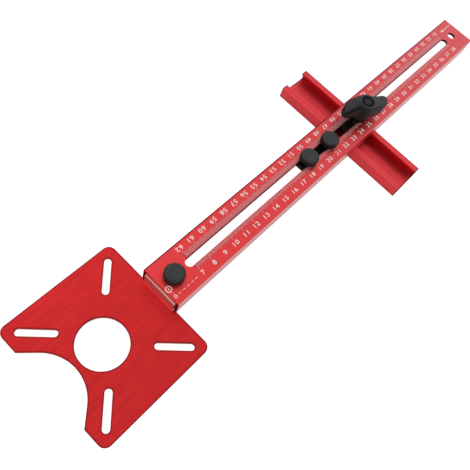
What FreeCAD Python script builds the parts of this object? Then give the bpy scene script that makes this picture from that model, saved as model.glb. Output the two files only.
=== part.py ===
import FreeCAD, Part
import math
import os
import Sketcher

# Router guide jig: a base plate for a trim router, a long slotted arm clamped to it,
# a pivot bar for circles and a cross fence for straight edges, both sliding on the arm.
# Millimetres, +Z up. The origin is the centre of the router opening on the plate's underside.
# +X runs along the arm, +Y to its left.

LEFT = 1
RIGHT = -1

# Coordinates nearer than this are the same point.
SAME = 0.01

# Every size that can be set by itself: name, value, what it is.
SIZES = (
    ("plate_width", 90, "base plate across the arm"),
    ("plate_front", 44.5, "router centre to the plate edge at the arm"),
    ("plate_back", 37.5, "router centre to the rear edge"),
    ("plate_thickness", 2, "sheet thickness of plate and tongue"),
    ("plate_corner", 5, "radius of the plate's outer corners"),
    ("opening_diameter", 31.75, "router opening"),
    ("notch_radius", 28, "radius of the sight notch in the rear edge"),
    ("notch_centre", 47.6, "router centre to the centre of the notch's arc"),
    ("notch_angle", 47, "half angle of the notch's arc, in degrees"),
    ("screw_slot_width", 4.5, "router screw slots"),
    ("screw_slot_length", 24, "router screw slots, tip to tip"),
    ("screw_slot_angle", 45, "router screw slots, from the arm, in degrees"),
    ("screw_slot_front", 29, "router centre to the middle of the front slots, along the arm"),
    ("screw_slot_back", 22.4, "router centre to the middle of the rear slots, along the arm"),
    ("screw_slot_side", 29.9, "router centre to the middle of every slot, across the arm"),
    ("bend_radius", 1, "inside radius of the tongue's two bends"),
    ("riser_setback", 1, "plate edge back to the face of the tongue's riser"),
    ("relief_width", 0.3, "slit beside the tongue, up to its lower bend"),
    ("tongue_gap", 0.3, "tongue to each flange of the arm"),
    ("tongue_reach", 19.5, "plate edge to the end of the tongue"),
    ("tongue_corner", 3, "radius of the tongue's end corners"),
    ("clamp_reach", 10.6, "arm end to the clamp screw"),
    ("arm_width", 30, "arm, outside"),
    ("arm_height", 15, "arm, outside"),
    ("arm_wall", 2, "web and flanges of the arm"),
    ("arm_length", 360, "arm"),
    ("arm_corner", 0.6, "radius of the arm's two upper edges"),
    ("slot_width", 6, "long slot in the web"),
    ("slot_near_margin", 23.9, "arm end at the plate to the slot's first round centre"),
    ("slot_far_margin", 24.8, "far arm end to the slot's last round centre"),
    ("end_hole_margin", 12.1, "far arm end to the spare clamp hole"),
    ("clamp_hole_diameter", 6.5, "clamp holes at both ends of the arm"),
    ("stud_diameter", 5, "all four studs"),
    ("thread_gap", 0.05, "stud to its thread, on the radius"),
    ("stud_hole_gap", 0.3, "stud to a plain hole, on the radius"),
    ("stud_end", 0.5, "how far a stud passes its nut"),
    ("knob_diameter", 13.5, "knurled knobs"),
    ("knob_height", 5.3, "knurled knobs"),
    ("knob_bevel", 0.9, "bevel round the top of a knurled knob"),
    ("knob_bevel_height", 0.6, "height of that bevel"),
    ("knob_foot_height", 0.3, "plain foot below the fluted band"),
    ("knob_flutes", 32, "number of flutes of a knurled knob"),
    ("flute_depth", 0.3, "depth of a flute"),
    ("flute_width", 0.75, "width of a flute at the rim"),
    ("band_step", 0.1, "bottom of a flute to the plain foot and top"),
    ("knob_embed", 3.6, "stud length inside a knurled knob"),
    ("knob_washer_diameter", 11, "washer under a knurled knob"),
    ("knob_washer_thickness", 0.5, "washer under a knurled knob"),
    ("clinch_nut_diameter", 9.5, "head of the clinch nut under the tongue"),
    ("clinch_nut_height", 2.5, "head of the clinch nut"),
    ("clinch_shank_diameter", 7, "shank of the clinch nut, pressed into the tongue"),
    ("pivot_bar_length", 40.3, "pivot bar"),
    ("pivot_rib_gap", 0.1, "rib of the pivot bar to each side of the slot"),
    ("pivot_foot_width", 14, "foot of the pivot bar under the web"),
    ("pivot_foot_thickness", 2, "foot of the pivot bar"),
    ("pivot_knob_spacing", 24.1, "between the two knobs on the pivot bar"),
    ("pivot_bar_edge", 0.4, "bevel at both ends of the rib"),
    ("pin_diameter", 6, "pivot pin"),
    ("pin_drop", 5, "pivot pin below the plate's underside"),
    ("pin_tip", 1, "bevel at the pin's tip"),
    ("pin_spigot_diameter", 4, "spigot of the pin in the bar"),
    ("pin_spigot_length", 3, "spigot of the pin in the bar"),
    ("fence_position", 249.6, "router centre to the middle of the fence"),
    ("pivot_to_fence", 50.85, "pivot pin to the middle of the fence"),
    ("fence_length", 120, "fence rail across the arm"),
    ("fence_width", 30, "fence rail along the arm"),
    ("fence_height", 10, "fence rail"),
    ("fence_wall", 2, "walls, floor and lips of the fence rail"),
    ("fence_lip", 5, "outer face of the rail to the edge of a lip"),
    ("fence_corner", 0.5, "radius of the rail's outer edges"),
    ("block_gap", 0.3, "guide block to the lips and to the flanges of the arm"),
    ("block_overhang", 2.5, "flange of the guide block under each lip"),
    ("block_flange", 3, "thickness of that flange"),
    ("block_rise", 8, "guide block above the lips, inside the arm"),
    ("nut_flats", 8, "hexagon nut in the guide block"),
    ("nut_height", 4, "hexagon nut"),
    ("nut_gap", 0.1, "hexagon nut to its pocket, on each flat"),
    ("wing_washer_diameter", 12.4, "washer under the wing knob"),
    ("wing_washer_thickness", 1, "washer under the wing knob"),
    ("wing_angle", 160, "wing knob turned from the arm, in degrees"),
    ("wing_span", 41, "wing knob, tip to tip"),
    ("wing_side", 3.2, "middle of the knob to the straight side of a wing"),
    ("wing_tip_radius", 3, "rounding of the wing tips, seen from above"),
    ("wing_belly_radius", 13, "bulged side of a wing, seen from above"),
    ("wing_waist_radius", 4, "hollow between the hub and the straight side of a wing"),
    ("wing_height", 16.2, "wing knob"),
    ("wing_flat", 5.8, "middle of the knob to where the top of a wing begins to fall"),
    ("wing_droop", 3.5, "wing tips below the middle of the top"),
    ("wing_lift", 5, "underside of a wing above the foot, beside the hub"),
    ("wing_tip_lift", 8, "underside of a wing above the foot, at its tip"),
    ("hub_diameter", 14, "hub of the wing knob"),
    ("hub_foot_diameter", 11.6, "foot of the hub, which narrows downwards"),
    ("wing_root", 7.5, "middle of the knob to where a wing is cut away beneath"),
    ("wing_embed", 8, "stud length inside the wing knob"),
    ("cap_diameter", 10, "cap in the top of the wing knob"),
    ("cap_thickness", 1.4, "cap"),
    ("cap_gap", 0.1, "cap to its recess, on the radius"),
    ("cap_sink", 0.2, "top of the cap below the top of the knob"),
    ("cap_groove_diameter", 7.4, "inner side of the ring groove in the cap"),
    ("cap_groove_depth", 0.7, "ring groove in the cap"),
)

os.makedirs("parts", exist_ok=True)
doc = FreeCAD.newDocument("router_guide_jig")
sheet = doc.addObject("Spreadsheet::Sheet", "dim")
for row, (alias, value, note) in enumerate(SIZES, start=1):
    sheet.set(f"A{row}", alias)
    sheet.set(f"B{row}", str(value))
    sheet.set(f"C{row}", note)
    sheet.setAlias(f"B{row}", alias)
doc.recompute()


def number(expression):
    """Value of an expression in the sheet's names."""
    result = sheet.evalExpression(str(expression))
    return float(getattr(result, "Value", result))


def new_body(name):
    """A piece of its own, named as its file."""
    body = doc.addObject("PartDesign::Body", name)
    body.Label = name
    return body


def put(item, x="0", y="0", z="0"):
    """Binds the place of a piece to the sheet."""
    item.setExpression("Placement.Base.x", str(x))
    item.setExpression("Placement.Base.y", str(y))
    item.setExpression("Placement.Base.z", str(z))


def new_sketch(body, name, plane, offset="0"):
    """Sketch on one of the body's origin planes, moved along its normal."""
    sketch = body.newObject("Sketcher::SketchObject", name)
    for feature in body.Origin.OriginFeatures:
        if feature.Role == plane:
            sketch.AttachmentSupport = [(feature, "")]
    sketch.MapMode = "FlatFace"
    sketch.setExpression("AttachmentOffset.Base.z", str(offset))
    return sketch


def pin_point(sketch, geometry, vertex, x, y):
    """Holds one point of a sketch at two distances from its origin."""
    for kind, distance in (("DistanceX", x), ("DistanceY", y)):
        rule = Sketcher.Constraint(kind, -1, 1, geometry, vertex, number(distance))
        index = sketch.addConstraint(rule)
        sketch.setExpression(f"Constraints[{index}]", str(distance))


def hold_radius(sketch, geometry, radius):
    """Holds the radius of an arc or circle."""
    rule = Sketcher.Constraint("Radius", geometry, number(radius))
    index = sketch.addConstraint(rule)
    sketch.setExpression(f"Constraints[{index}]", str(radius))


def circle(sketch, x, y, diameter):
    """Circle about a point."""
    centre = FreeCAD.Vector(number(x), number(y), 0)
    radius = f"({diameter}) / 2"
    shape = Part.Circle(centre, FreeCAD.Vector(0, 0, 1), number(radius))
    index = sketch.addGeometry(shape, False)
    pin_point(sketch, index, 3, x, y)
    hold_radius(sketch, index, radius)


def outline(sketch, corners):
    """Closed outline. A corner (x, y) starts a straight side, and (x, y, radius, turn)
    an arc to the next corner that turns LEFT or RIGHT."""
    points = [FreeCAD.Vector(number(corner[0]), number(corner[1]), 0) for corner in corners]
    sides = []
    for i, corner in enumerate(corners):
        start = points[i]
        end = points[(i + 1) % len(points)]
        if len(corner) == 2:
            index = sketch.addGeometry(Part.LineSegment(start, end), False)
            sides.append((index, 1, 2))
            continue
        radius = number(corner[2])
        turn = corner[3]
        chord = end - start
        height = math.sqrt(max(radius ** 2 - (chord.Length / 2) ** 2, 0))
        across = FreeCAD.Vector(-chord.y, chord.x, 0).normalize()
        centre = (start + end) * 0.5 + across * height * turn
        first = start if turn == LEFT else end
        last = end if turn == LEFT else start
        first_angle = math.atan2(first.y - centre.y, first.x - centre.x)
        last_angle = math.atan2(last.y - centre.y, last.x - centre.x)
        full = Part.Circle(centre, FreeCAD.Vector(0, 0, 1), radius)
        index = sketch.addGeometry(Part.ArcOfCircle(full, first_angle, last_angle), False)
        sides.append((index, 1, 2) if turn == LEFT else (index, 2, 1))
    for i, (index, start, end) in enumerate(sides):
        before = sides[i - 1]
        sketch.addConstraint(Sketcher.Constraint("Coincident", before[0], before[2], index, start))
        pin_point(sketch, index, start, corners[i][0], corners[i][1])
        if len(corners[i]) > 2:
            hold_radius(sketch, index, corners[i][2])


def long_hole(sketch, x, y, length, width, angle="0"):
    """Round-ended slot, its length measured tip to tip."""
    cosine = f"cos(({angle}) * 1 deg)"
    sine = f"sin(({angle}) * 1 deg)"
    half = f"({width}) / 2"
    straight = f"(({length}) - ({width})) / 2"
    tip = f"({length}) / 2"
    corners = []
    for along, across, arc in (
        (f"-({straight})", f"-({half})", False),
        (straight, f"-({half})", True),
        (tip, "0", True),
        (straight, half, False),
        (f"-({straight})", half, True),
        (f"-({tip})", "0", True),
    ):
        place = (
            f"({x}) + ({along}) * {cosine} - ({across}) * {sine}",
            f"({y}) + ({along}) * {sine} + ({across}) * {cosine}",
        )
        corners.append(place + (half, LEFT) if arc else place)
    outline(sketch, corners)


def pad(body, sketch, length, symmetric=False):
    """Solid along the sketch's normal, or equally to both sides of it."""
    feature = body.newObject("PartDesign::Pad", sketch.Name + "_pad")
    feature.Profile = sketch
    feature.SideType = "Symmetric" if symmetric else "One side"
    feature.setExpression("Length", str(length))
    return feature


def cut_through(body, sketch):
    """Opening right through, to both sides of the sketch."""
    feature = body.newObject("PartDesign::Pocket", sketch.Name + "_cut")
    feature.Profile = sketch
    feature.Type = "ThroughAll"
    feature.SideType = "Symmetric"
    return feature


def cut_up(body, sketch, depth):
    """Recess from the sketch along its normal."""
    feature = body.newObject("PartDesign::Pocket", sketch.Name + "_recess")
    feature.Profile = sketch
    feature.Reversed = True
    feature.setExpression("Length", str(depth))
    return feature


def turn_round(body, sketch):
    """Full turn of the sketch about its upright axis."""
    feature = body.newObject("PartDesign::Revolution", sketch.Name + "_turn")
    feature.Profile = sketch
    feature.ReferenceAxis = (sketch, ["V_Axis"])
    feature.Angle = 360
    return feature


def turn_off(body, sketch):
    """Cuts away a full turn of the sketch about its upright axis."""
    feature = body.newObject("PartDesign::Groove", sketch.Name + "_groove")
    feature.Profile = sketch
    feature.ReferenceAxis = (sketch, ["V_Axis"])
    feature.Angle = 360
    return feature


def edge_names(feature, chosen):
    """Names of the edges of a feature that the test picks."""
    doc.recompute()
    return [f"Edge{i}" for i, edge in enumerate(feature.Shape.Edges, start=1) if chosen(edge)]


def rounded(body, feature, radius, chosen):
    """Rounds the edges of a feature that the test picks."""
    rounding = body.newObject("PartDesign::Fillet", feature.Name + "_rounding")
    rounding.Base = (feature, edge_names(feature, chosen))
    rounding.setExpression("Radius", str(radius))
    return rounding


# Heights shared by pieces that seat on each other.
arm_inside = "(dim.arm_height - dim.arm_wall)"
clamp_x = "(dim.plate_front + dim.clamp_reach)"
arm_end = "(dim.plate_front + dim.arm_length)"
pivot_x = "(dim.fence_position - dim.pivot_to_fence)"
tongue_width = "(dim.arm_width - 2 * dim.arm_wall - 2 * dim.tongue_gap)"


def make_base_plate():
    """Sheet plate with its cranked tongue, which lies under the arm's web."""
    body = new_body("base_plate")
    side = "dim.plate_width / 2"
    corner = "dim.plate_corner"
    bend_line = "(dim.plate_front - dim.riser_setback - dim.bend_radius)"
    relief = f"({tongue_width} / 2 + dim.relief_width)"
    turn_x = "(dim.notch_radius * cos(dim.notch_angle * 1 deg) - dim.notch_centre)"
    turn_y = "(dim.notch_radius * sin(dim.notch_angle * 1 deg))"
    mouth = f"({turn_y} + ({turn_x} + dim.plate_back) / tan(dim.notch_angle * 1 deg))"
    plan = new_sketch(body, "plate_plan", "XY_Plane")
    outline(plan, (
        (f"{corner} - dim.plate_back", f"-({side})"),
        (f"dim.plate_front - {corner}", f"-({side})", corner, LEFT),
        ("dim.plate_front", f"{corner} - {side}"),
        ("dim.plate_front", f"-{relief}"),
        (bend_line, f"-{relief}"),
        (bend_line, relief),
        ("dim.plate_front", relief),
        ("dim.plate_front", f"{side} - {corner}", corner, LEFT),
        (f"dim.plate_front - {corner}", side),
        (f"{corner} - dim.plate_back", side, corner, LEFT),
        ("-dim.plate_back", f"{side} - {corner}"),
        ("-dim.plate_back", mouth),
        (turn_x, turn_y, "dim.notch_radius", RIGHT),
        (turn_x, f"-{turn_y}"),
        ("-dim.plate_back", f"-{mouth}"),
        ("-dim.plate_back", f"{corner} - {side}", corner, LEFT),
    ))
    pad(body, plan, "dim.plate_thickness")

    # The crank: a concave bend, the riser, a convex bend, and the flat under the web.
    thick = "dim.plate_thickness"
    inner = "dim.bend_radius"
    outer = f"({inner} + {thick})"
    face = "(dim.plate_front - dim.riser_setback)"
    tip = "(dim.plate_front + dim.tongue_reach)"
    crank = new_sketch(body, "tongue_side", "XZ_Plane")
    outline(crank, (
        (f"{bend_line} - {thick}", "0"),
        (bend_line, "0", outer, LEFT),
        (f"{face} + {thick}", outer),
        (f"{face} + {thick}", f"{arm_inside} - {outer}", inner, RIGHT),
        (f"{face} + {outer}", f"{arm_inside} - {thick}"),
        (tip, f"{arm_inside} - {thick}"),
        (tip, arm_inside),
        (f"{face} + {outer}", arm_inside, outer, LEFT),
        (face, f"{arm_inside} - {outer}"),
        (face, outer, inner, RIGHT),
        (bend_line, thick),
        (f"{bend_line} - {thick}", thick),
    ))
    tongue = pad(body, crank, tongue_width, symmetric=True)
    end_x = number(tip)
    rounded(body, tongue, "dim.tongue_corner", lambda edge: (
        abs(edge.BoundBox.XMin - end_x) < SAME
        and edge.BoundBox.XLength < SAME
        and edge.BoundBox.YLength < SAME
    ))

    opening = new_sketch(body, "router_opening", "XY_Plane")
    circle(opening, "0", "0", "dim.opening_diameter")
    cut_through(body, opening)
    for name, x, y, angle in (
        ("slot_front_left", "dim.screw_slot_front", "dim.screw_slot_side", "dim.screw_slot_angle"),
        ("slot_front_right", "dim.screw_slot_front", "-dim.screw_slot_side", "-dim.screw_slot_angle"),
        ("slot_rear_left", "-dim.screw_slot_back", "dim.screw_slot_side", "-dim.screw_slot_angle"),
        ("slot_rear_right", "-dim.screw_slot_back", "-dim.screw_slot_side", "dim.screw_slot_angle"),
    ):
        plan = new_sketch(body, name, "XY_Plane")
        long_hole(plan, x, y, "dim.screw_slot_length", "dim.screw_slot_width", angle)
        cut_through(body, plan)
    shank = new_sketch(body, "clinch_hole", "XY_Plane", arm_inside)
    circle(shank, clamp_x, "0", "dim.clinch_shank_diameter")
    cut_through(body, shank)
    return body


def make_clinch_nut():
    """Nut pressed into the tongue from below, which the clamp knob screws into."""
    body = new_body("tongue_nut")
    sheet_bottom = f"({arm_inside} - dim.plate_thickness)"
    head = new_sketch(body, "nut_head", "XY_Plane", f"{sheet_bottom} - dim.clinch_nut_height")
    circle(head, clamp_x, "0", "dim.clinch_nut_diameter")
    pad(body, head, "dim.clinch_nut_height")
    shank = new_sketch(body, "nut_shank", "XY_Plane", sheet_bottom)
    circle(shank, clamp_x, "0", "dim.clinch_shank_diameter")
    pad(body, shank, "dim.plate_thickness")
    bore = new_sketch(body, "nut_bore", "XY_Plane", sheet_bottom)
    circle(bore, clamp_x, "0", "dim.stud_diameter + 2 * dim.thread_gap")
    cut_through(body, bore)
    return body


def make_arm():
    """Channel with its web on top and the flanges down, slotted along the middle."""
    body = new_body("arm_channel")
    half = "dim.arm_width / 2"
    wall = "dim.arm_wall"
    edge = "dim.arm_corner"
    section = new_sketch(body, "arm_section", "YZ_Plane", "dim.plate_front")
    outline(section, (
        (f"-{half}", "0"),
        (f"{wall} - {half}", "0"),
        (f"{wall} - {half}", arm_inside),
        (f"{half} - {wall}", arm_inside),
        (f"{half} - {wall}", "0"),
        (half, "0"),
        (half, f"dim.arm_height - {edge}", edge, LEFT),
        (f"{half} - {edge}", "dim.arm_height"),
        (f"{edge} - {half}", "dim.arm_height", edge, LEFT),
        (f"-{half}", f"dim.arm_height - {edge}"),
    ))
    pad(body, section, "dim.arm_length")
    slot = new_sketch(body, "arm_slot", "XY_Plane", "dim.arm_height")
    first = "(dim.plate_front + dim.slot_near_margin)"
    last = f"({arm_end} - dim.slot_far_margin)"
    long_hole(slot, f"({first} + {last}) / 2", "0", f"{last} - {first} + dim.slot_width", "dim.slot_width")
    cut_through(body, slot)
    for name, x in (("clamp_hole", clamp_x), ("end_hole", f"{arm_end} - dim.end_hole_margin")):
        hole = new_sketch(body, name, "XY_Plane", "dim.arm_height")
        circle(hole, x, "0", "dim.clamp_hole_diameter")
        cut_through(body, hole)
    return body


def make_knurled_knob(name, x):
    """Low round knob with a bevelled top and fluted rim, moulded on its stud."""
    body = new_body(name)
    rim = "dim.knob_diameter / 2"
    bore = "dim.stud_diameter / 2"
    plain = f"({rim} - dim.flute_depth - dim.band_step)"
    band_top = "(dim.knob_height - dim.knob_bevel_height)"
    profile = new_sketch(body, name + "_profile", "XZ_Plane")
    outline(profile, (
        (bore, "0"),
        (plain, "0"),
        (plain, "dim.knob_foot_height"),
        (rim, "dim.knob_foot_height"),
        (rim, band_top),
        (plain, band_top),
        (f"{rim} - dim.knob_bevel", "dim.knob_height"),
        ("0", "dim.knob_height"),
        ("0", "dim.knob_embed"),
        (bore, "dim.knob_embed"),
    ))
    turn_round(body, profile)
    flute = new_sketch(body, name + "_flute", "XY_Plane")
    outline(flute, (
        (f"{rim} - dim.flute_depth", "0"),
        (f"{rim} + dim.flute_depth", "-dim.flute_width"),
        (f"{rim} + dim.flute_depth", "dim.flute_width"),
    ))
    groove = cut_through(body, flute)
    pattern = body.newObject("PartDesign::PolarPattern", name + "_flutes")
    pattern.Originals = [groove]
    pattern.Axis = (flute, ["N_Axis"])
    pattern.Angle = 360
    pattern.setExpression("Occurrences", "dim.knob_flutes")
    body.Tip = pattern
    put(body, x, "0", "dim.arm_height + dim.knob_washer_thickness")
    return body


def make_washer(name, x, diameter, thickness):
    """Plain washer on top of the arm."""
    body = new_body(name)
    ring = new_sketch(body, name + "_ring", "XY_Plane")
    circle(ring, "0", "0", diameter)
    circle(ring, "0", "0", "dim.stud_diameter + 2 * dim.stud_hole_gap")
    pad(body, ring, thickness)
    put(body, x, "0", "dim.arm_height")
    return body


def make_stud(name, x, bottom, top):
    """Stud from below its nut up into its knob."""
    stud = doc.addObject("Part::Cylinder", name)
    stud.Label = name
    stud.setExpression("Radius", "dim.stud_diameter / 2")
    stud.setExpression("Height", f"({top}) - ({bottom})")
    put(stud, x, "0", bottom)
    return stud


def make_pivot_bar():
    """Bar whose rib fills the slot and whose foot bears on the web from below."""
    body = new_body("pivot_bar")
    half = "dim.pivot_bar_length / 2"
    foot = "dim.pivot_foot_thickness"
    top = f"({foot} + dim.arm_wall)"
    rib_width = "(dim.slot_width - 2 * dim.pivot_rib_gap)"
    plan = new_sketch(body, "foot_plan", "XY_Plane")
    outline(plan, (
        (f"-{half}", "-dim.pivot_foot_width / 2"),
        (half, "-dim.pivot_foot_width / 2"),
        (half, "dim.pivot_foot_width / 2"),
        (f"-{half}", "dim.pivot_foot_width / 2"),
    ))
    pad(body, plan, foot)
    rib = new_sketch(body, "rib_side", "XZ_Plane")
    outline(rib, (
        (f"-{half}", f"{foot} / 2"),
        (half, f"{foot} / 2"),
        (half, f"{top} - dim.pivot_bar_edge"),
        (f"{half} - dim.pivot_bar_edge", top),
        (f"dim.pivot_bar_edge - {half}", top),
        (f"-{half}", f"{top} - dim.pivot_bar_edge"),
    ))
    pad(body, rib, rib_width, symmetric=True)
    threads = new_sketch(body, "bar_threads", "XY_Plane")
    for x in ("-dim.pivot_knob_spacing / 2", "dim.pivot_knob_spacing / 2"):
        circle(threads, x, "0", "dim.stud_diameter + 2 * dim.thread_gap")
    cut_through(body, threads)
    socket = new_sketch(body, "pin_socket", "XY_Plane")
    circle(socket, "0", "0", "dim.pin_spigot_diameter")
    cut_up(body, socket, "dim.pin_spigot_length")
    put(body, pivot_x, "0", f"{arm_inside} - {foot}")
    return body


def make_pivot_pin():
    """Pin that drops into the drilled centre of a circle, with a spigot in the bar."""
    body = new_body("pivot_pin")
    radius = "dim.pin_diameter / 2"
    spigot = "dim.pin_spigot_diameter / 2"
    seat = f"({arm_inside} - dim.pivot_foot_thickness)"
    profile = new_sketch(body, "pin_profile", "XZ_Plane")
    outline(profile, (
        ("0", "-dim.pin_drop"),
        (f"{radius} - dim.pin_tip", "-dim.pin_drop"),
        (radius, "dim.pin_tip - dim.pin_drop"),
        (radius, seat),
        (spigot, seat),
        (spigot, f"{seat} + dim.pin_spigot_length"),
        ("0", f"{seat} + dim.pin_spigot_length"),
    ))
    turn_round(body, profile)
    put(body, pivot_x)
    return body


def make_fence_rail():
    """Lipped channel across the arm, open upwards, which the guide block runs in."""
    body = new_body("fence_rail")
    half = "dim.fence_width / 2"
    wall = "dim.fence_wall"
    lip = "dim.fence_lip"
    low = "dim.fence_height"
    edge = "dim.fence_corner"
    section = new_sketch(body, "rail_section", "XZ_Plane")
    outline(section, (
        (f"{edge} - {half}", f"-{low}"),
        (f"{half} - {edge}", f"-{low}", edge, LEFT),
        (half, f"{edge} - {low}"),
        (half, f"-{edge}", edge, LEFT),
        (f"{half} - {edge}", "0"),
        (f"{half} - {lip}", "0"),
        (f"{half} - {lip}", f"-{wall}"),
        (f"{half} - {wall}", f"-{wall}"),
        (f"{half} - {wall}", f"{wall} - {low}"),
        (f"{wall} - {half}", f"{wall} - {low}"),
        (f"{wall} - {half}", f"-{wall}"),
        (f"{lip} - {half}", f"-{wall}"),
        (f"{lip} - {half}", "0"),
        (f"{edge} - {half}", "0", edge, LEFT),
        (f"-{half}", f"-{edge}"),
        (f"-{half}", f"{edge} - {low}", edge, LEFT),
    ))
    pad(body, section, "dim.fence_length", symmetric=True)
    put(body, "dim.fence_position")
    return body


def hexagon(sketch, flats):
    """Hexagon about the origin, two of its corners along the first axis."""
    corners = []
    for i in range(6):
        across = f"({flats}) / sqrt(3)"
        corners.append((f"{across} * cos({60 * i} deg)", f"{across} * sin({60 * i} deg)"))
    outline(sketch, corners)


def make_guide_block():
    """Block held between the lips and between the arm's flanges, so the fence stays square."""
    body = new_body("fence_guide_block")
    neck = "(dim.fence_width / 2 - dim.fence_lip - dim.block_gap)"
    flange = f"({neck} + dim.block_gap + dim.block_overhang)"
    seat = "-dim.fence_wall"
    low = f"({seat} - dim.block_flange)"
    section = new_sketch(body, "block_section", "XZ_Plane")
    outline(section, (
        (f"-{flange}", low),
        (flange, low),
        (flange, seat),
        (neck, seat),
        (neck, "dim.block_rise"),
        (f"-{neck}", "dim.block_rise"),
        (f"-{neck}", seat),
        (f"-{flange}", seat),
    ))
    pad(body, section, "dim.arm_width - 2 * dim.arm_wall - 2 * dim.block_gap", symmetric=True)
    bore = new_sketch(body, "block_bore", "XY_Plane")
    circle(bore, "0", "0", "dim.stud_diameter + 2 * dim.stud_hole_gap")
    cut_through(body, bore)
    pocket = new_sketch(body, "nut_pocket", "XY_Plane", low)
    hexagon(pocket, "dim.nut_flats + 2 * dim.nut_gap")
    cut_up(body, pocket, "dim.nut_height")
    put(body, "dim.fence_position")
    return body


def make_fence_nut():
    """Hexagon nut in the block, flush with its underside."""
    body = new_body("fence_nut")
    plan = new_sketch(body, "nut_plan", "XY_Plane")
    hexagon(plan, "dim.nut_flats")
    circle(plan, "0", "0", "dim.stud_diameter + 2 * dim.thread_gap")
    pad(body, plan, "dim.nut_height")
    put(body, "dim.fence_position", "0", "-dim.fence_wall - dim.block_flange")
    return body


def make_wing_knob():
    """Moulded knob: a round hub that narrows to its foot, and two wings, alike after half a turn.
    Each wing has one straight side and one bulged side, falls to its tip and is cut away beneath."""
    body = new_body("wing_knob")
    hub = "(dim.hub_diameter / 2)"
    tip = "dim.wing_tip_radius"
    belly = "dim.wing_belly_radius"
    waist = "dim.wing_waist_radius"
    end = "(dim.wing_span / 2)"
    # Middles of the tip's rounding, of the belly's arc and of the hollow at the waist.
    tip_x = f"({end} - {tip})"
    tip_y = f"(dim.wing_side - {tip})"
    belly_y = f"({belly} - {hub})"
    belly_x = f"({tip_x} - sqrt(({belly} - {tip}) ^ 2 - ({belly_y} - {tip_y}) ^ 2))"
    waist_y = f"(dim.wing_side + {waist})"
    waist_x = f"sqrt(({hub} + {waist}) ^ 2 - {waist_y} ^ 2)"
    tip_share = f"({tip} / ({belly} - {tip}))"
    tip_start_x = f"({tip_x} + ({tip_x} - {belly_x}) * {tip_share})"
    tip_start_y = f"({tip_y} + ({tip_y} - {belly_y}) * {tip_share})"
    hub_share = f"({hub} / ({hub} + {waist}))"
    wing = (
        ("0", f"-{hub}"),
        (belly_x, f"-{hub}", belly, LEFT),
        (tip_start_x, tip_start_y, tip, LEFT),
        (tip_x, "dim.wing_side"),
        (waist_x, "dim.wing_side", waist, RIGHT),
        (f"{waist_x} * {hub_share}", f"{waist_y} * {hub_share}", hub, LEFT),
    )
    turned = tuple((f"-({corner[0]})", f"-({corner[1]})") + corner[2:] for corner in wing)
    plan = new_sketch(body, "wing_plan", "XY_Plane")
    outline(plan, wing + turned)
    pad(body, plan, "dim.wing_height")

    falls = new_sketch(body, "wing_falls", "XZ_Plane")
    lifts = new_sketch(body, "wing_lifts", "XZ_Plane")
    for sign in ("", "-"):
        outline(falls, (
            (f"{sign}dim.wing_flat", "dim.wing_height"),
            (f"{sign}{end}", "dim.wing_height - dim.wing_droop"),
            (f"{sign}{end}", "dim.wing_height"),
        ))
        outline(lifts, (
            (f"{sign}dim.wing_root", "0"),
            (f"{sign}{end}", "0"),
            (f"{sign}{end}", "dim.wing_tip_lift"),
            (f"{sign}dim.wing_root", "dim.wing_lift"),
        ))
    cut_through(body, falls)
    cut_through(body, lifts)
    taper = new_sketch(body, "hub_taper", "XZ_Plane")
    outline(taper, (
        ("dim.hub_foot_diameter / 2", "0"),
        ("dim.hub_diameter", "0"),
        ("dim.hub_diameter", "dim.wing_lift"),
        (hub, "dim.wing_lift"),
    ))
    turn_off(body, taper)
    recess = new_sketch(body, "cap_recess", "XY_Plane", "dim.wing_height - dim.cap_thickness - dim.cap_sink")
    circle(recess, "0", "0", "dim.cap_diameter + 2 * dim.cap_gap")
    cut_up(body, recess, "dim.wing_height")
    bore = new_sketch(body, "wing_bore", "XY_Plane")
    circle(bore, "0", "0", "dim.stud_diameter")
    cut_up(body, bore, "dim.wing_embed")
    body.Placement.Rotation = FreeCAD.Rotation(FreeCAD.Vector(0, 0, 1), number("dim.wing_angle"))
    body.setExpression("Placement.Rotation.Angle", "dim.wing_angle")
    put(body, "dim.fence_position", "0", "dim.arm_height + dim.wing_washer_thickness")
    return body


def make_wing_cap():
    """Plain cap with a ring groove, pressed into the top of the wing knob."""
    body = new_body("wing_cap")
    radius = "dim.cap_diameter / 2"
    inner = "dim.cap_groove_diameter / 2"
    rim = f"({inner} + {radius}) / 2"
    profile = new_sketch(body, "cap_profile", "XZ_Plane")
    outline(profile, (
        ("0", "0"),
        (radius, "0"),
        (radius, "dim.cap_thickness"),
        (rim, "dim.cap_thickness"),
        (f"({rim} + {inner}) / 2", "dim.cap_thickness - dim.cap_groove_depth"),
        (inner, "dim.cap_thickness"),
        ("0", "dim.cap_thickness"),
    ))
    turn_round(body, profile)
    seat = "dim.arm_height + dim.wing_washer_thickness + dim.wing_height - dim.cap_sink - dim.cap_thickness"
    put(body, "dim.fence_position", "0", seat)
    return body


near_x = f"({pivot_x} - dim.pivot_knob_spacing / 2)"
far_x = f"({pivot_x} + dim.pivot_knob_spacing / 2)"
knob_foot = "(dim.arm_height + dim.knob_washer_thickness)"
clamp_bottom = f"({arm_inside} - dim.plate_thickness - dim.clinch_nut_height - dim.stud_end)"
bar_bottom = f"({arm_inside} - dim.pivot_foot_thickness - dim.stud_end)"
block_bottom = "(-dim.fence_wall - dim.block_flange - dim.stud_end)"
wing_foot = "(dim.arm_height + dim.wing_washer_thickness)"

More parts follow.
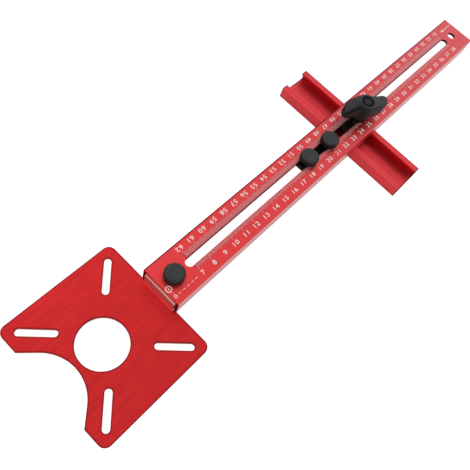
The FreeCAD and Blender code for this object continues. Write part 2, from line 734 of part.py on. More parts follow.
pieces = [
    make_base_plate(),
    make_clinch_nut(),
    make_arm(),
    make_knurled_knob("clamp_knob", clamp_x),
    make_stud("clamp_stud", clamp_x, clamp_bottom, f"{knob_foot} + dim.knob_embed"),
    make_washer("clamp_washer", clamp_x, "dim.knob_washer_diameter", "dim.knob_washer_thickness"),
    make_pivot_bar(),
    make_pivot_pin(),
]
for end, x in (("near", near_x), ("far", far_x)):
    pieces.append(make_knurled_knob("pivot_knob_" + end, x))
    pieces.append(make_stud("pivot_stud_" + end, x, bar_bottom, f"{knob_foot} + dim.knob_embed"))
    pieces.append(make_washer("pivot_washer_" + end, x, "dim.knob_washer_diameter", "dim.knob_washer_thickness"))
pieces += [
    make_fence_rail(),
    make_guide_block(),
    make_fence_nut(),
    make_stud("fence_stud", "dim.fence_position", block_bottom, f"{wing_foot} + dim.wing_embed"),
    make_washer("fence_washer", "dim.fence_position", "dim.wing_washer_diameter", "dim.wing_washer_thickness"),
    make_wing_knob(),
    make_wing_cap(),
]

doc.recompute()
for item in doc.Objects:
    if "Invalid" in item.State or "Error" in item.State:
        raise RuntimeError(f"{item.Label} failed: {item.State}")
for piece in pieces:
    if piece.Shape.isNull() or not piece.Shape.isValid() or len(piece.Shape.Solids) != 1:
        raise RuntimeError(f"{piece.Label} isn't one valid solid")
for piece in pieces:
    piece.Shape.exportStep(f"parts/{piece.Label}.step")
    box = piece.Shape.BoundBox
    print(f"{piece.Label}: {piece.Shape.Volume:.1f} mm3, x {box.XMin:.2f} to {box.XMax:.2f},"
          f" y {box.YMin:.2f} to {box.YMax:.2f}, z {box.ZMin:.2f} to {box.ZMax:.2f}")
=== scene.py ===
"""Looks of a router guide jig: anodised plate, arm and fence, printed scale, moulded knobs."""

import math

import bmesh
import bpy
from mathutils import Matrix, Quaternion, Vector


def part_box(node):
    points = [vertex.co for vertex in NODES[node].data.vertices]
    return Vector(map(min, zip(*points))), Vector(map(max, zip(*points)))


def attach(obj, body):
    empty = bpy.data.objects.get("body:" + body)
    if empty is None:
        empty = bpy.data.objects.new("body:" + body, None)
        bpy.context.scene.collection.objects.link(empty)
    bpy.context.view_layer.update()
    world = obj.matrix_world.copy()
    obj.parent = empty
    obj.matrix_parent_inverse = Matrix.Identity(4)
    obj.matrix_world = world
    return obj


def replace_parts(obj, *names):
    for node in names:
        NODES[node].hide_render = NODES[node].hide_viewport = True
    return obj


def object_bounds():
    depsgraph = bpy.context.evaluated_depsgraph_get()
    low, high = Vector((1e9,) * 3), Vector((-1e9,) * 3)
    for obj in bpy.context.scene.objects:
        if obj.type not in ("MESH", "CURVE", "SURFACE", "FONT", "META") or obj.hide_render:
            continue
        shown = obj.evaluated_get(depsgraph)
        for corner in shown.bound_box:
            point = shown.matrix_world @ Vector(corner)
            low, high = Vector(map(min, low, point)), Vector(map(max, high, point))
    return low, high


bl_info = {
    "name": "Router guide jig",
    "version": (1, 0, 0),
    "blender": (4, 5, 0),
    "location": "3D View > Sidebar > Guide jig",
    "description": "Finishes the metal, prints the scale and moulds the knobs of a router guide jig",
    "category": "Object",
}

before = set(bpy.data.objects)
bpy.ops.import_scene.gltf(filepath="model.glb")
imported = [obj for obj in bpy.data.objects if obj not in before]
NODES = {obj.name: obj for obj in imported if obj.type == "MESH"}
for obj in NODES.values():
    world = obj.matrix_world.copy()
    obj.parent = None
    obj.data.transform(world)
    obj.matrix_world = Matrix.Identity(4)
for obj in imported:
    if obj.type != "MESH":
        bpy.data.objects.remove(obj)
CAD_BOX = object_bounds()

MM = 0.001
ARM_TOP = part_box("arm_channel")[1].z

# The print stands above the arm's top and is rooted a little below it.
PRINT_TOP = ARM_TOP + 0.02 * MM
PRINT_ROOT = ARM_TOP - 0.01 * MM

# Corners of a CAD mesh that lie closer than this are one.
CAD_WELD = 0.002 * MM

WHITE = (1.0, 1.0, 1.0, 1.0)

# Share of a colour's brightness that the painted shade on rims and in openings keeps.
RIM_SHADE = 0.25

# Sockets of a mix node that mixes colours.
MIX_FIRST, MIX_SECOND, MIX_RESULT = 6, 7, 2


def linear(colour):
    """Linear RGBA of an sRGB hex value."""
    channels = []
    for i in (1, 3, 5):
        value = int(colour[i:i + 2], 16) / 255
        channels.append(value / 12.92 if value <= 0.04045 else ((value + 0.055) / 1.055) ** 2.4)
    return (*channels, 1.0)


def size_value(name, note, millimetres):
    """Length that a user may change, kept in metres."""
    return bpy.props.FloatProperty(
        name=name, description=note, default=millimetres * MM, unit="LENGTH", precision=5)


def colour_value(name, note, colour):
    """Colour that a user may change."""
    return bpy.props.FloatVectorProperty(
        name=name, description=note, default=linear(colour), size=4, subtype="COLOR", min=0, max=1)


class GuideJigColours(bpy.types.PropertyGroup):
    """Colours of the finishes."""
    plate: colour_value("Plate", "Dye of the brushed base plate", "#C02A2C")
    arm: colour_value("Arm", "Dye of the drawn arm", "#D3171D")
    arm_far: colour_value("Arm, far end", "Dye at the far end of the arm", "#D2363E")
    # The Rims colour is painted shade on the rims and in the openings.
    rim: colour_value("Rims", "Dye along the rims and in the openings", "#740F22")
    rail: colour_value("Fence", "Dye of the drawn fence rail", "#D8444A")
    # The Bend colour is a painted highlight along the crest of the tongue's bend.
    crazed: colour_value("Bend", "Crazed dye on the outside of the tongue's bend", "#FFE9DC")
    ticks: colour_value("Ticks", "Thin ink of the ticks", "#D8BDBD")
    print_white: colour_value("Scale", "Ink of the printed scale", "#FFF4EC")
    moulded: colour_value("Knobs", "Moulded knobs", "#17181A")
    cap: colour_value("Cap", "Cap of the wing knob", "#0A090B")
    bar: colour_value("Bar", "Blackened pivot bar and guide block", "#0B0B0C")
    steel: colour_value("Steel", "Zinc plated screws and pin", "#B9BCBE")
    paper: colour_value("Floor", "Studio floor", "#BCBCBC")


class GuideJigScale(bpy.types.PropertyGroup):
    """Sizes of the printed scale."""
    first: bpy.props.IntProperty(name="First number", description="Lowest number on the scale", default=7)
    last: bpy.props.IntProperty(name="Last number", description="Highest number on the scale", default=38)
    pair_sum: bpy.props.IntProperty(
        name="Pair sum", description="Sum of two numbers that face each other across the slot", default=69)
    digit_height: size_value("Digit height", "Height of the numbers", 3.2)
    near_row: size_value("Near row", "Middle of the arm to the row that reads away from the router", 10.1)
    far_row: size_value("Far row", "Middle of the arm to the row that reads towards the router", 10.8)
    stroke: size_value("Tick width", "Width of a tick", 0.25)
    tick_root: size_value("Tick root", "Middle of the arm to the inner end of the ticks", 3.45)
    tick_short: size_value("Short tick", "Middle of the arm to the outer end of a millimetre tick", 5.7)
    tick_middle: size_value("Middle tick", "Middle of the arm to the outer end of a half tick", 6.3)
    tick_long: size_value("Long tick", "Middle of the arm to the outer end of a centimetre tick", 7.2)


class GuideJigKnobs(bpy.types.PropertyGroup):
    """Sizes of the moulded knobs."""
    teeth: bpy.props.IntProperty(name="Teeth", description="Teeth round a knob", default=32, min=12)
    tooth_depth: size_value("Tooth depth", "Depth of the grooves between the teeth", 0.85)
    top_bevel: size_value("Top bevel", "Width of the bevel round the top", 1.9)
    bevel_drop: size_value("Bevel drop", "Height of the bevel round the top", 0.6)
    soft_edge: size_value("Soft edge", "Rounding of the moulded edges", 0.22)
    wing_turn: bpy.props.FloatProperty(
        name="Wing turn", description="Wing knob turned from the arm", default=math.radians(160),
        unit="ROTATION")
    wing_rounding: size_value("Wing rounding", "Rounding of the wings' upper rims", 0.95)
    wing_slope: size_value("Wing slope", "Width of the slope on the pushed side of a wing", 4.0)


class GuideJigStage(bpy.types.PropertyGroup):
    """Camera and lamps."""
    lens: bpy.props.FloatProperty(name="Lens", description="Focal length in millimetres", default=41.788)
    key_power: bpy.props.FloatProperty(
        name="Key lamp", description="Power of the key lamp", default=2.6, unit="POWER")
    fill_power: bpy.props.FloatProperty(
        name="Fill lamp", description="Power of the fill lamp", default=1.0, unit="POWER")
    room_light: bpy.props.FloatProperty(name="Room light", description="Light from all round", default=0.85)


# ---------------------------------------------------------------- finishes

def add_node(tree, kind, inputs=None, **settings):
    """Adds a node with its settings, and its sockets' values or links."""
    node = tree.nodes.new(kind)
    for name, value in settings.items():
        setattr(node, name, value)
    for name, value in (inputs or {}).items():
        if isinstance(value, bpy.types.NodeSocket):
            tree.links.new(value, node.inputs[name])
        else:
            node.inputs[name].default_value = value
    return node


def new_material(name):
    """Empty material and its node tree."""
    material = bpy.data.materials.new(name)
    material.use_nodes = True
    material.node_tree.nodes.clear()
    return material, material.node_tree


def finish_material(tree, shader):
    """Links the shader to the output."""
    add_node(tree, "ShaderNodeOutputMaterial", {"Surface": shader})


def grain(tree, length, width, detail=4.0, roughness=0.6, along="X"):
    """Noise stretched along one axis: grain of that length and width in millimetres."""
    place = add_node(tree, "ShaderNodeTexCoord")
    scale = [1 / (width * MM)] * 3
    scale["XYZ".index(along)] = 1 / (length * MM)
    mapped = add_node(tree, "ShaderNodeMapping", {"Vector": place.outputs["Object"], "Scale": scale})
    return add_node(tree, "ShaderNodeTexNoise", {
        "Vector": mapped.outputs["Vector"], "Scale": 1.0, "Detail": detail, "Roughness": roughness})


def spread(tree, value, low, high, to_low, to_high):
    """Maps a value from one range to another and keeps it inside."""
    node = add_node(tree, "ShaderNodeMapRange", {
        "Value": value, "From Min": low, "From Max": high, "To Min": to_low, "To Max": to_high})
    return node.outputs["Result"]


def scaled(colour, factor):
    """Colour made darker or lighter by a factor."""
    return [min(1.0, factor * c) for c in colour[:3]] + [1.0]


def covered(tree, share, colour, cover):
    """Colour covered by another one by the share. Either is a fixed colour or a socket."""
    mix = add_node(tree, "ShaderNodeMix", {
        "Factor": share, MIX_FIRST: colour, MIX_SECOND: cover}, data_type="RGBA")
    return mix.outputs[MIX_RESULT]


def tinted(tree, share, colour, low, high):
    """Colour made darker and lighter by the share, between two factors."""
    return covered(tree, share, scaled(colour, low), scaled(colour, high))


def place_along(tree, axis, coordinates="Object"):
    """Position along one axis of the piece, in metres."""
    place = add_node(tree, "ShaderNodeTexCoord")
    split = add_node(tree, "ShaderNodeSeparateXYZ", {"Vector": place.outputs[coordinates]})
    return split.outputs[axis]


def facing(tree, axis):
    """How far a surface turns to an axis, from minus one to one."""
    return place_along(tree, axis, "Normal")


def band(tree, value, low, high, fade):
    """One between two positions, fading to nought over a short way outside them."""
    rise = spread(tree, value, low - fade, low, 0.0, 1.0)
    fall = spread(tree, value, high, high + fade, 1.0, 0.0)
    return times(tree, rise, fall)


def times(tree, first, second):
    """Product of two shares."""
    return add_node(tree, "ShaderNodeMath", {0: first, 1: second}, operation="MULTIPLY").outputs[0]


def greater(tree, first, second):
    """The greater of two shares."""
    return add_node(tree, "ShaderNodeMath", {0: first, 1: second}, operation="MAXIMUM").outputs[0]


def mixed_grain(tree, coarse, weight, fine):
    """Fine grain with a share of a coarser one added."""
    return add_node(tree, "ShaderNodeMath", {
        0: coarse.outputs["Fac"], 1: weight, 2: fine.outputs["Fac"]}, operation="MULTIPLY_ADD").outputs[0]


def near_edge(tree, width):
    """One along the sharp edges of a piece, nought away from them."""
    eased = add_node(tree, "ShaderNodeBevel", {"Radius": width}, samples=6)
    place = add_node(tree, "ShaderNodeNewGeometry")
    turned = add_node(tree, "ShaderNodeVectorMath", {
        0: eased.outputs["Normal"], 1: place.outputs["True Normal"]}, operation="DOT_PRODUCT")
    # Cosines of the turn from the true normal to the eased one: at an edge, and away from it.
    return spread(tree, turned.outputs["Value"], 0.9, 0.985, 1.0, 0.0)


def add_surface(tree, inputs, height, strength, depth):
    """Surface with the given inputs and a fine relief, linked to the output."""
    bump = add_node(tree, "ShaderNodeBump", {"Height": height, "Strength": strength, "Distance": depth})
    shader = add_node(tree, "ShaderNodeBsdfPrincipled", {**inputs, "Normal": bump.outputs["Normal"]})
    finish_material(tree, shader.outputs["BSDF"])


def brushed_anodised_aluminium(name, colour, crazed):
    """Sheet aluminium, belt brushed along the arm, then anodised and dyed.
    To the eye: fine straight hairlines that catch the light and a deep even dye. Painted shade makes it
    near black along the rims, and painted light makes it lighter beside the bend. The riser, which the
    belt did not reach, is duller and is painted paler as painted light, and a painted highlight runs
    along the crest of its bend."""
    sheet_top = 2.1 * MM
    riser_foot = 3.5 * MM
    crest = (11.15 * MM, 11.5 * MM)
    half_tongue = 13 * MM
    painted_light_from, painted_light_to = 38.5 * MM, 43 * MM

    material, tree = new_material(name)
    # Belt scratches are about 0.1 mm wide; drawn 0.6 mm wide so that they show in the render.
    hairlines = grain(tree, 20, 0.6, roughness=0.8)
    # Slower tone from the belt's passes.
    passes = grain(tree, 40, 2.2, detail=3.0)
    tone = mixed_grain(tree, passes, 0.25, hairlines)
    dyed = tinted(tree, spread(tree, tone, 0.42, 0.82, 0.0, 1.0), colour, 0.76, 1.2)
    # Painted shade: the colour turns near black along the sharp edges.
    dyed = covered(tree, near_edge(tree, 2.0 * MM), dyed, scaled(colour, RIM_SHADE))

    # Painted light: the colour is lighter beside the bend, across the tongue's width.
    across = band(tree, place_along(tree, "Y"), -half_tongue, half_tongue, 4 * MM)
    beside = spread(tree, place_along(tree, "X"), painted_light_from, painted_light_to, 0.0, 1.0)
    dyed = covered(tree, times(tree, across, beside), dyed, scaled(colour, 1.45))

    height = place_along(tree, "Z")
    # Painted light: the riser and the tongue are painted paler than the sheet.
    on_riser = spread(tree, height, sheet_top, riser_foot, 0.0, 1.0)
    painted_paler_riser = [0.95 * c + 0.1 for c in colour[:3]] + [1.0]
    dyed = covered(tree, on_riser, dyed, painted_paler_riser)
    # Painted highlight along the crest of the bend.
    dyed = covered(tree, band(tree, height, *crest, 0.15 * MM), dyed, crazed)
    add_surface(tree, {
        "Base Color": dyed,
        "Roughness": spread(tree, hairlines.outputs["Fac"], 0.3, 0.7, 0.34, 0.5),
        "Metallic": spread(tree, height, sheet_top, riser_foot, 1.0, 0.3),
    }, hairlines.outputs["Fac"], 0.35, 0.02 * MM)
    return material


def drawn_tone(tree, along):
    """Faint lines along a profile, and the same with etch pits."""
    # Die lines are about 0.1 mm wide; drawn 0.5 mm wide so that they show in the render.
    lines = grain(tree, 70, 0.5, roughness=0.65, along=along)
    # Etch pits are about 0.02 mm; drawn 0.25 mm so that they show in the render.
    etch = grain(tree, 0.25, 0.25, detail=2.0)
    return lines.outputs["Fac"], mixed_grain(tree, etch, 0.35, lines)


def add_satin(tree, dyed, lines, tone, film):
    """Satin metal of a dyed colour under a clear film of the given weight."""
    add_surface(tree, {
        "Base Color": dyed, "Roughness": spread(tree, lines, 0.3, 0.7, 0.38, 0.48), "Metallic": 1.0,
        "Coat Weight": film, "Coat Roughness": 0.3, "Coat IOR": 1.5,
    }, tone, 0.25, 0.02 * MM)


def drawn_anodised_aluminium(name, colour, shaded_wall, rims):
    """Extruded aluminium, etched matt, then anodised and dyed.
    To the eye: a soft satin red with faint lines along the profile. Painted shade darkens the inner wall
    under the far lip and makes the rims near black. The wall is given by its place along X, each rim by
    an axis and its two sides, in metres in the rail's own axes."""
    material, tree = new_material(name)
    lines, tone = drawn_tone(tree, "Y")
    dyed = tinted(tree, spread(tree, tone, 0.5, 0.85, 0.0, 1.0), colour, 0.82, 1.16)
    # Painted shade on the inner wall under the far lip.
    turned_back = spread(tree, facing(tree, "X"), -0.7, -0.3, 1.0, 0.0)
    at_wall = band(tree, place_along(tree, "X"), shaded_wall, shaded_wall, 0.5 * MM)
    dyed = covered(tree, times(tree, turned_back, at_wall), dyed, scaled(colour, 0.68))
    # Painted shade: the rims are near black.
    for axis, low, high in rims:
        at_rim = band(tree, place_along(tree, axis), low, high, 0.1 * MM)
        dyed = covered(tree, at_rim, dyed, scaled(colour, RIM_SHADE))
    add_satin(tree, dyed, lines, tone, 0.0)
    return material


def scale_anodised_aluminium(name, colour, far_colour, rim_shade_colour, ends, rims):
    """Drawn aluminium under a clear oxide film, which carries the printed scale.
    To the eye: satin red that pales towards the far end and turns milky where it is seen at a low
    angle, from the film. Painted shade makes it near black in the machined openings, on the sawn near end
    and along the rims, and there is a darker strip under the ticks. The ends lie along X, the rims (one at
    the slot, one at the outer edge) along Y, in metres."""
    fade = 0.1 * MM
    slot_near, slot_far = ends[0] + 24 * MM, ends[1] - 26 * MM
    half_opening = 3.6 * MM
    tick_strips = ((-5.8 * MM, -3.3 * MM), (3.5 * MM, 7.2 * MM))
    end_face = 0.6 * MM
    web_underside = 12.8 * MM
    top_edge = 14.3 * MM

    material, tree = new_material(name)
    lines, tone = drawn_tone(tree, "X")
    share = spread(tree, tone, 0.45, 0.9, 0.0, 1.0)
    length, across, height = (place_along(tree, axis) for axis in "XYZ")
    far = spread(tree, length, *ends, 0.0, 1.0)
    near_tone, far_tone = (tinted(tree, share, tone_colour, 0.9, 1.1) for tone_colour in (colour, far_colour))
    dyed = covered(tree, far, near_tone, far_tone)

    beside_slot = band(tree, length, slot_near, slot_far, fade)
    paler = spread(tree, far, 0.0, 1.0, 1.0, 0.3)
    for low, high in tick_strips:
        strip = times(tree, beside_slot, band(tree, across, low, high, 2 * fade))
        dyed = covered(tree, times(tree, strip, paler), dyed, scaled(colour, 0.75))

    # Painted shade: near black in the openings and on the sawn near end below the web.
    upright = spread(tree, facing(tree, "Z"), 0.3, 0.5, 1.0, 0.0)
    inside = band(tree, length, ends[0] + 2 * MM, ends[1] - 2 * MM, fade)
    within = band(tree, across, -half_opening, half_opening, fade)
    openings = times(tree, times(tree, upright, inside), within)
    at_end = spread(tree, length, ends[0] + end_face, ends[0] + end_face + fade, 1.0, 0.0)
    below_web = spread(tree, height, web_underside, web_underside + fade, 1.0, 0.0)
    sawn = times(tree, times(tree, upright, at_end), below_web)
    walls = greater(tree, openings, sawn)
    # Painted shade: dark lines along the slot's rim and the outer top edge.
    on_top = spread(tree, height, top_edge, top_edge + 2 * fade, 0.0, 1.0)
    rim = greater(tree, times(tree, beside_slot, band(tree, across, *rims[0], fade)),
                  times(tree, on_top, band(tree, across, *rims[1], fade)))
    dyed = covered(tree, rim, dyed, rim_shade_colour)
    dyed = covered(tree, walls, dyed, scaled(rim_shade_colour, RIM_SHADE))
    film = spread(tree, greater(tree, walls, rim), 0.0, 1.0, 1.0, 0.0)
    add_satin(tree, dyed, lines, tone, film)
    return material


def moulded_nylon(name, colour, shine=0.5, slope=0.4):
    """Glass filled nylon from a spark eroded mould.
    To the eye: near black with a grey bloom and fine even grain. Level tops have the full shine;
    slopes and sides get only a share of it as painted shade, so they look darker."""
    material, tree = new_material(name)
    # Spark grain is about 0.05 mm; drawn 0.22 mm so that it shows in the render.
    pits = grain(tree, 0.22, 0.22, detail=3.0)
    bloom = grain(tree, 3.0, 3.0, detail=3.0).outputs["Fac"]
    add_surface(tree, {
        "Base Color": tinted(tree, spread(tree, bloom, 0.35, 0.65, 0.0, 1.0), colour, 0.75, 1.35),
        "Roughness": spread(tree, bloom, 0.35, 0.65, 0.5, 0.62), "Metallic": 0.0, "IOR": 1.53,
        # Painted shade: less shine on slopes and sides than on level tops.
        "Specular IOR Level": spread(tree, facing(tree, "Z"), 0.92, 0.99, slope * shine, shine),
    }, pits.outputs["Fac"], 0.5, 0.04 * MM)
    return material


def black_anodised_aluminium(name, colour):
    """Drawn bar, anodised black.
    To the eye: a dense satin black with faint lines along the bar."""
    material, tree = new_material(name)
    # Die lines are about 0.1 mm wide; drawn 0.4 mm wide so that they show in the render.
    lines = grain(tree, 30, 0.4).outputs["Fac"]
    add_surface(tree, {
        "Base Color": tinted(tree, lines, colour, 0.7, 1.5),
        "Roughness": spread(tree, lines, 0.3, 0.7, 0.36, 0.5), "Metallic": 1.0,
    }, lines, 0.3, 0.02 * MM)
    return material


def zinc_plated_steel(name, colour):
    """Turned steel, zinc plated bright.
    To the eye: cool grey metal with fine lathe lines and a soft mottle."""
    material, tree = new_material(name)
    # Lathe lines are about 0.05 mm apart; drawn 0.25 mm apart so that they show in the render.
    turning = grain(tree, 0.25, 6.0, detail=3.0, along="Z")
    mottle = grain(tree, 1.5, 1.5).outputs["Fac"]
    add_surface(tree, {
        "Base Color": tinted(tree, mottle, colour, 0.8, 1.1),
        "Roughness": spread(tree, mottle, 0.3, 0.7, 0.26, 0.42), "Metallic": 1.0,
    }, turning.outputs["Fac"], 0.25, 0.03 * MM)
    return material


def screen_print_ink(name, colour):
    """White screen print ink, baked on.
    To the eye: matt off-white with slightly uneven cover."""
    material, tree = new_material(name)
    # The screen's mesh is about 0.1 mm; drawn 0.5 mm so that it shows in the render.
    cover = grain(tree, 0.5, 0.5).outputs["Fac"]
    add_surface(tree, {
        "Base Color": tinted(tree, spread(tree, cover, 0.35, 0.65, 0.0, 1.0), colour, 0.92, 1.0),
        "Roughness": spread(tree, cover, 0.3, 0.7, 0.5, 0.65), "Metallic": 0.0, "IOR": 1.5,
    }, cover, 0.2, 0.01 * MM)
    return material


def studio_paper(name, colour):
    """Matt background paper. The camera, mirrors and glass see it as white, and shadows stay on it."""
    material, tree = new_material(name)
    fibre = grain(tree, 2.0, 2.0, detail=3.0)
    toned = tinted(tree, fibre.outputs["Fac"], colour, 0.99, 1.01)
    matt = add_node(tree, "ShaderNodeBsdfDiffuse", {"Color": toned, "Roughness": 1.0})
    # The glow lifts the paper to white in the picture, and by less in the reflections.
    path = add_node(tree, "ShaderNodeLightPath")
    level = spread(tree, path.outputs["Is Camera Ray"], 0.0, 1.0, 0.5, 0.88)
    glow = add_node(tree, "ShaderNodeEmission", {"Color": WHITE, "Strength": level})
    bright = add_node(tree, "ShaderNodeAddShader", {0: matt.outputs["BSDF"], 1: glow.outputs["Emission"]})
    shader = add_node(tree, "ShaderNodeMixShader", {
        0: seen_by_camera(tree), 1: matt.outputs["BSDF"], 2: bright.outputs["Shader"]})
    finish_material(tree, shader.outputs["Shader"])
    return material


def seen_by_camera(tree):
    """One for camera, glossy and transmission rays, nought for the rest."""
    path = add_node(tree, "ShaderNodeLightPath")
    mirrored = greater(tree, path.outputs["Is Camera Ray"], path.outputs["Is Glossy Ray"])
    return greater(tree, mirrored, path.outputs["Is Transmission Ray"])


# ---------------------------------------------------------------- making

def new_piece(name, mesh, body, material):
    """Object from a finished mesh that rides on a body."""
    for polygon in mesh.polygons:
        polygon.use_smooth = True
    piece = bpy.data.objects.new(name, mesh)
    bpy.context.scene.collection.objects.link(piece)
    piece.data.materials.append(material)
    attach(piece, body)
    return piece


def mesh_from(name, made):
    """Closed mesh from a bmesh, which is freed. Its faces point outwards."""
    mesh = bpy.data.meshes.new(name)
    bmesh.ops.remove_doubles(made, verts=made.verts, dist=0.0005 * MM)
    bmesh.ops.recalc_face_normals(made, faces=made.faces)
    if made.calc_volume(signed=True) < 0:
        bmesh.ops.reverse_faces(made, faces=made.faces)
    made.to_mesh(mesh)
    made.free()
    return mesh


def soften(piece, width):
    """Breaks the sharp edges of a piece, as a deburred edge is."""
    weld = piece.modifiers.new("weld", "WELD")
    weld.merge_threshold = CAD_WELD
    bevel = piece.modifiers.new("edges", "BEVEL")
    bevel.width = width
    bevel.segments = 2
    bevel.limit_method = "ANGLE"
    bevel.angle_limit = math.radians(40)
    bevel.harden_normals = True


def refinish(node, material):
    """Gives a CAD node its finish."""
    piece = NODES[node]
    piece.data.materials.clear()
    piece.data.materials.append(material)
    return piece


def turned_mesh(name, levels, centre, foot, steps, tooth=1):
    """Mesh of a turned form. Each level gives a radius and a height, or the radius at the tooth
    tops, the radius in the grooves and the height. The first and the last one close over the
    middle, and a tooth takes the given number of steps."""
    made = bmesh.new()
    rings = []
    for *radii, z in levels:
        tip, groove = radii[0], radii[-1]
        ring = []
        for i in range(steps):
            # The root keeps the tooth tops broad and the grooves narrow.
            share = (0.5 + 0.5 * math.cos(2 * math.pi * (i % tooth) / tooth)) ** 0.5
            radius = groove + (tip - groove) * share
            angle = 2 * math.pi * i / steps
            ring.append(made.verts.new((
                centre.x + radius * math.cos(angle), centre.y + radius * math.sin(angle), foot + z)))
        rings.append(ring)
    for a, b in zip(rings, rings[1:]):
        for i in range(steps):
            made.faces.new((a[i], a[(i + 1) % steps], b[(i + 1) % steps], b[i]))
    made.faces.new(rings[0])
    made.faces.new(rings[-1])
    return mesh_from(name, made)


def print_bar(made, x0, y0, x1, y1):
    """Printed bar on the arm between two corners."""
    corners = [made.verts.new((x, y, z)) for x in (x0, x1) for y in (y0, y1) for z in (PRINT_ROOT, PRINT_TOP)]
    for face in ((0, 1, 3, 2), (4, 6, 7, 5), (0, 4, 5, 1), (2, 3, 7, 6), (0, 2, 6, 4), (1, 5, 7, 3)):
        made.faces.new([corners[i] for i in face])


def print_text(made, words, height, place, turn=0.0):
    """Digits as a thin print on the arm, centred on a place."""
    # The scale's digits are wider than the stock font's.
    wider = 1.17
    curve = bpy.data.curves.new("digits", "FONT")
    curve.body = words
    curve.extrude = 0.5
    curve.resolution_u = 3
    curve.space_character = 1.1
    holder = bpy.data.objects.new("digits", curve)
    bpy.context.scene.collection.objects.link(holder)
    bpy.context.view_layer.update()
    mesh = bpy.data.meshes.new_from_object(holder)
    xs = [vert.co.x for vert in mesh.vertices]
    ys = [vert.co.y for vert in mesh.vertices]
    scale = height / (max(ys) - min(ys))
    mesh.transform(Matrix.Translation((-(min(xs) + max(xs)) / 2, -(min(ys) + max(ys)) / 2, 0)))
    mesh.transform(Matrix.Diagonal((scale * wider, scale, PRINT_TOP - PRINT_ROOT, 1)))
    mesh.transform(Matrix.Rotation(turn, 4, "Z"))
    mesh.transform(Matrix.Translation((*place, (PRINT_ROOT + PRINT_TOP) / 2)))
    made.from_mesh(mesh)
    bpy.data.objects.remove(holder)
    bpy.data.curves.remove(curve)
    bpy.data.meshes.remove(mesh)


def print_ring(made, centre, inner, outer):
    """Printed ring on the arm, or a dot where the inner radius is nought."""
    steps = 48
    x, y = centre
    loops = []
    for radius, z in ((inner, PRINT_ROOT), (outer, PRINT_ROOT), (outer, PRINT_TOP), (inner, PRINT_TOP)):
        if radius == 0:
            loops.append([made.verts.new((x, y, z))] * steps)
            continue
        angles = (2 * math.pi * i / steps for i in range(steps))
        loops.append([
            made.verts.new((x + radius * math.cos(angle), y + radius * math.sin(angle), z))
            for angle in angles])
    for a, b in zip(loops, loops[1:] + loops[:1]):
        for i in range(steps):
            corners = list(dict.fromkeys((a[i - 1], a[i], b[i], b[i - 1])))
            if len(corners) > 2:
                made.faces.new(corners)


def ramp(value, low, high):
    """Share of the way from low to high, from nought to one."""
    return min(1.0, max(0.0, (value - low) / (high - low)))


def on_hub(place):
    """Whether a place belongs to the hub of the wing knob, which keeps its rim."""
    return place.xy.length < 6 * MM


def nearest_wall(place, walls):
    """Distance to the nearest wall as seen from above, the height of its crest and its normal."""
    found = []
    for a, b, normal in walls:
        along = (b - a).xy
        foot = a.lerp(b, ramp((place - a).xy.dot(along), 0.0, along.length_squared))
        found.append(((place - foot).xy.length, foot.z, normal))
    return min(found, key=lambda wall: wall[0])


def slope_down(place, walls, rounding, slope):
    """Moves a place on a rounded rim inwards and down, on the pushed side of one wing and at its tip."""
    wing_start, wing_full = 5 * MM, 11 * MM
    taper_start, taper_end, narrowed = 10 * MM, 17.5 * MM, 0.65
    underside = 8 * MM
    side_share, tip_share = 0.75, 0.8
    tip_shift = 0.8 * MM

    away, crest, normal = nearest_wall(place, walls)
    # Small margins keep the outer rows of the rounding in.
    if away > rounding * 1.05 or place.z < crest - rounding * 1.01 or on_hub(place):
        return
    on_wing = ramp(place.x, wing_start, wing_full)
    push = on_wing * max(0.0, normal.y)
    tip = on_wing * max(0.0, normal.x)
    up = ramp(place.z, crest - rounding, crest)
    deeper = max(push, tip_share * tip) * (side_share * (crest - underside) - rounding)
    tapered = 1 - narrowed * ramp(place.x, taper_start, taper_end)
    place.z -= (1 - up) * deeper
    place.y -= push * up * tapered * slope
    place.x -= tip * up * tip_shift


class GUIDEJIG_OT_metal(bpy.types.Operator):
    """Brushes and dyes the plate, the arm and the fence rail"""
    bl_idname = "guidejig.metal"
    bl_label = "Finish plate, arm and fence"

    def execute(self, context):
        colours = context.scene.guide_jig_colours
        plate = brushed_anodised_aluminium("brushed_anodised_plate", colours.plate, colours.crazed)
        low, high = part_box("arm_channel")
        # Strips of painted shade on the arm, beside the slot and along the outer edge.
        slot_rim_shade = (3.0 * MM, 3.6 * MM)
        outer_rim_shade = (high.y - 0.85 * MM, high.y)
        arm = scale_anodised_aluminium(
            "drawn_anodised_arm", colours.arm, colours.arm_far, colours.rim, (low.x, high.x),
            (slot_rim_shade, outer_rim_shade))
        origin = NODES["fence_rail"].matrix_world.translation
        low, high = (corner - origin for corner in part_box("fence_rail"))
        wall = 2 * MM
        # Width of the strips of painted shade along the rail's rims.
        rim = 0.7 * MM
        rail = drawn_anodised_aluminium("drawn_anodised_rail", colours.rail, high.x - wall, (
            ("X", high.x - rim, high.x), ("Z", low.z, low.z + rim),
            ("Y", low.y, low.y + rim), ("Y", high.y - rim, high.y)))
        soften(refinish("base_plate", plate), 0.15 * MM)
        soften(refinish("arm_channel", arm), 0.12 * MM)
        soften(refinish("fence_rail", rail), 0.15 * MM)
        return {"FINISHED"}


class GUIDEJIG_OT_fittings(bpy.types.Operator):
    """Finishes the bar, the guide block, the washers, the screws and the nuts"""
    bl_idname = "guidejig.fittings"
    bl_label = "Finish fittings"

    def execute(self, context):
        colours = context.scene.guide_jig_colours
        bar = black_anodised_aluminium("black_anodised_bar", colours.bar)
        block = moulded_nylon("moulded_nylon_block", colours.bar)
        steel = zinc_plated_steel("zinc_plated_steel", colours.steel)
        soften(refinish("pivot_bar", bar), 0.12 * MM)
        soften(refinish("fence_guide_block", block), 0.3 * MM)
        for node in ("clamp_washer", "pivot_washer_near", "pivot_washer_far", "fence_washer"):
            soften(refinish(node, bar), 0.08 * MM)
        for node in ("tongue_nut", "fence_nut", "pivot_pin", "clamp_stud", "pivot_stud_near",
                     "pivot_stud_far", "fence_stud"):
            soften(refinish(node, steel), 0.1 * MM)
        return {"FINISHED"}


